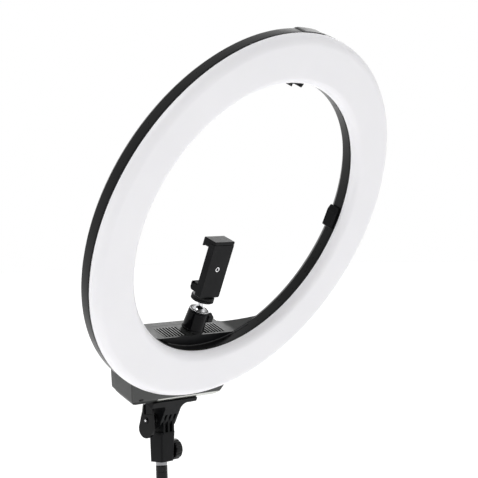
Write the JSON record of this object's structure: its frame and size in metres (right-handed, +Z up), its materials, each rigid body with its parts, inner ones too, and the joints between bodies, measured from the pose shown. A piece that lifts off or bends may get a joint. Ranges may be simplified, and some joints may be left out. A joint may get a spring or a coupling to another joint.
{
  "type": "ring light",
  "caption": "Round ring lamp head with an opal diffuser, rear control box, ball head with a sprung phone clamp, and a comb hinge on a stand socket.",
  "frame": {"origin": "centre of the lower end of the stand's top tube, on the tube's axis", "axes": "+Z up along the stand tube, the lit side of the ring faces -Y, +X to the right seen from the front"},
  "size_m": [0.48, 0.2867, 0.6473],
  "materials": {
    "black_plastic": "satin black moulded plastic",
    "box_plastic": "satin dark grey moulded plastic",
    "gloss_black": "gloss black",
    "black_tube": "black coated tube",
    "opal_diffuser": "opal white, softly glossy",
    "chrome": "polished",
    "steel": "plated",
    "brass": "machined",
    "circuit_board": "white solder mask",
    "rubber": "matt"
  },
  "bodies": {
    "stand": {"stand_tube": "black_tube", "stand_spigot": "chrome"},
    "socket": {"stand_socket": "black_plastic", "socket_insert": "brass"},
    "socket_clamp": {"socket_knob": "black_plastic", "socket_knob_screw": "steel"},
    "head": {"diffuser": "opal_diffuser", "ring_housing": "black_plastic", "led_board": "circuit_board", "control_box": "box_plastic", "rear_cover": "box_plastic", "driver_board": "circuit_board", "power_inlet": "gloss_black", "switch_frame": "gloss_black", "brightness_potentiometer": "steel", "colour_potentiometer": "steel", "rim_block_top": "black_plastic", "rim_block_left": "black_plastic", "rim_block_right": "black_plastic", "top_bracket": "black_plastic", "tilt_bracket": "black_plastic", "tilt_bolt": "steel", "tilt_washer": "steel", "bracket_screw_1": "steel", "bracket_screw_2": "steel", "bracket_screw_3": "steel", "bracket_screw_4": "steel", "cover_screw_1": "steel", "cover_screw_2": "steel", "cover_screw_3": "steel", "cover_screw_4": "steel", "ball_head": "gloss_black", "ball_head_screw": "steel"},
    "lever": {"tilt_lever": "black_plastic", "lever_cap": "chrome"},
    "brightness_dial": {"brightness_knob": "gloss_black", "brightness_shaft": "steel"},
    "colour_dial": {"colour_knob": "gloss_black", "colour_shaft": "steel"},
    "rocker": {"switch_rocker": "gloss_black"},
    "ball_ring": {"ball_collar": "chrome"},
    "ball": {"ball_stem": "chrome"},
    "ball_lock": {"ball_lock_knob": "black_plastic", "ball_lock_screw": "steel"},
    "lock_disc": {"clamp_lock_disc": "black_plastic"},
    "clamp": {"clamp_body": "black_plastic", "clamp_insert": "brass", "lower_pad": "rubber", "clamp_spring": "steel"},
    "jaw": {"upper_jaw": "black_plastic", "upper_pad": "rubber", "clamp_rod_left": "steel", "clamp_rod_right": "steel"}
  },
  "joints": [
    {"name": "socket_turn", "type": "hinge", "parent": "stand", "child": "socket", "pos_m": [0, 0, 0.14], "axis": [0, 0, 1], "continuous": true},
    {"name": "socket_clamp_turn", "type": "hinge", "parent": "socket", "child": "socket_clamp", "pos_m": [0.02, 0, 0.138], "axis": [1, 0, 0], "range_deg": [-180, 180]},
    {"name": "head_tilt", "type": "hinge", "parent": "socket", "child": "head", "pos_m": [0, -0.003, 0.18], "axis": [1, 0, 0], "range_deg": [-115, 60]},
    {"name": "tilt_lever_turn", "type": "hinge", "parent": "head", "child": "lever", "pos_m": [-0.026, -0.003, 0.18], "axis": [1, 0, 0], "range_deg": [-60, 60]},
    {"name": "brightness_turn", "type": "hinge", "parent": "head", "child": "brightness_dial", "pos_m": [0.038, -0.01053, 0.27134], "axis": [0, 0.887, 0.4617], "range_deg": [-135, 135]},
    {"name": "colour_turn", "type": "hinge", "parent": "head", "child": "colour_dial", "pos_m": [-0.038, -0.01053, 0.27134], "axis": [0, 0.887, 0.4617], "range_deg": [-135, 135]},
    {"name": "power_rocker", "type": "hinge", "parent": "head", "child": "rocker", "pos_m": [0, -0.02215, 0.27093], "axis": [1, 0, 0], "range_deg": [-16, 0]},
    {"name": "ball_pan", "type": "hinge", "parent": "head", "child": "ball_ring", "pos_m": [0.003, -0.06939, 0.31511], "axis": [0, -0.4617, 0.887], "continuous": true},
    {"name": "ball_tilt", "type": "hinge", "parent": "ball_ring", "child": "ball", "pos_m": [0.003, -0.06939, 0.31511], "axis": [1, 0, 0], "range_deg": [-35, 35]},
    {"name": "ball_lock_turn", "type": "hinge", "parent": "head", "child": "ball_lock", "pos_m": [0.023, -0.06491, 0.30651], "axis": [1, 0, 0], "range_deg": [-180, 180]},
    {"name": "lock_disc_turn", "type": "hinge", "parent": "ball", "child": "lock_disc", "pos_m": [0.003, -0.07732, 0.33293], "axis": [0, -0.4067, 0.9135], "continuous": true},
    {"name": "clamp_turn", "type": "hinge", "parent": "ball", "child": "clamp", "pos_m": [0.003, -0.07996, 0.33886], "axis": [0, -0.4067, 0.9135], "continuous": true},
    {"name": "jaw_slide", "type": "slide", "parent": "clamp", "child": "jaw", "axis": [0, -0.4067, 0.9135], "range_m": [0, 0.028], "stiffness_N_per_m": 120, "springref_m": -0.012, "deforming": ["clamp_spring"]}
  ]
}
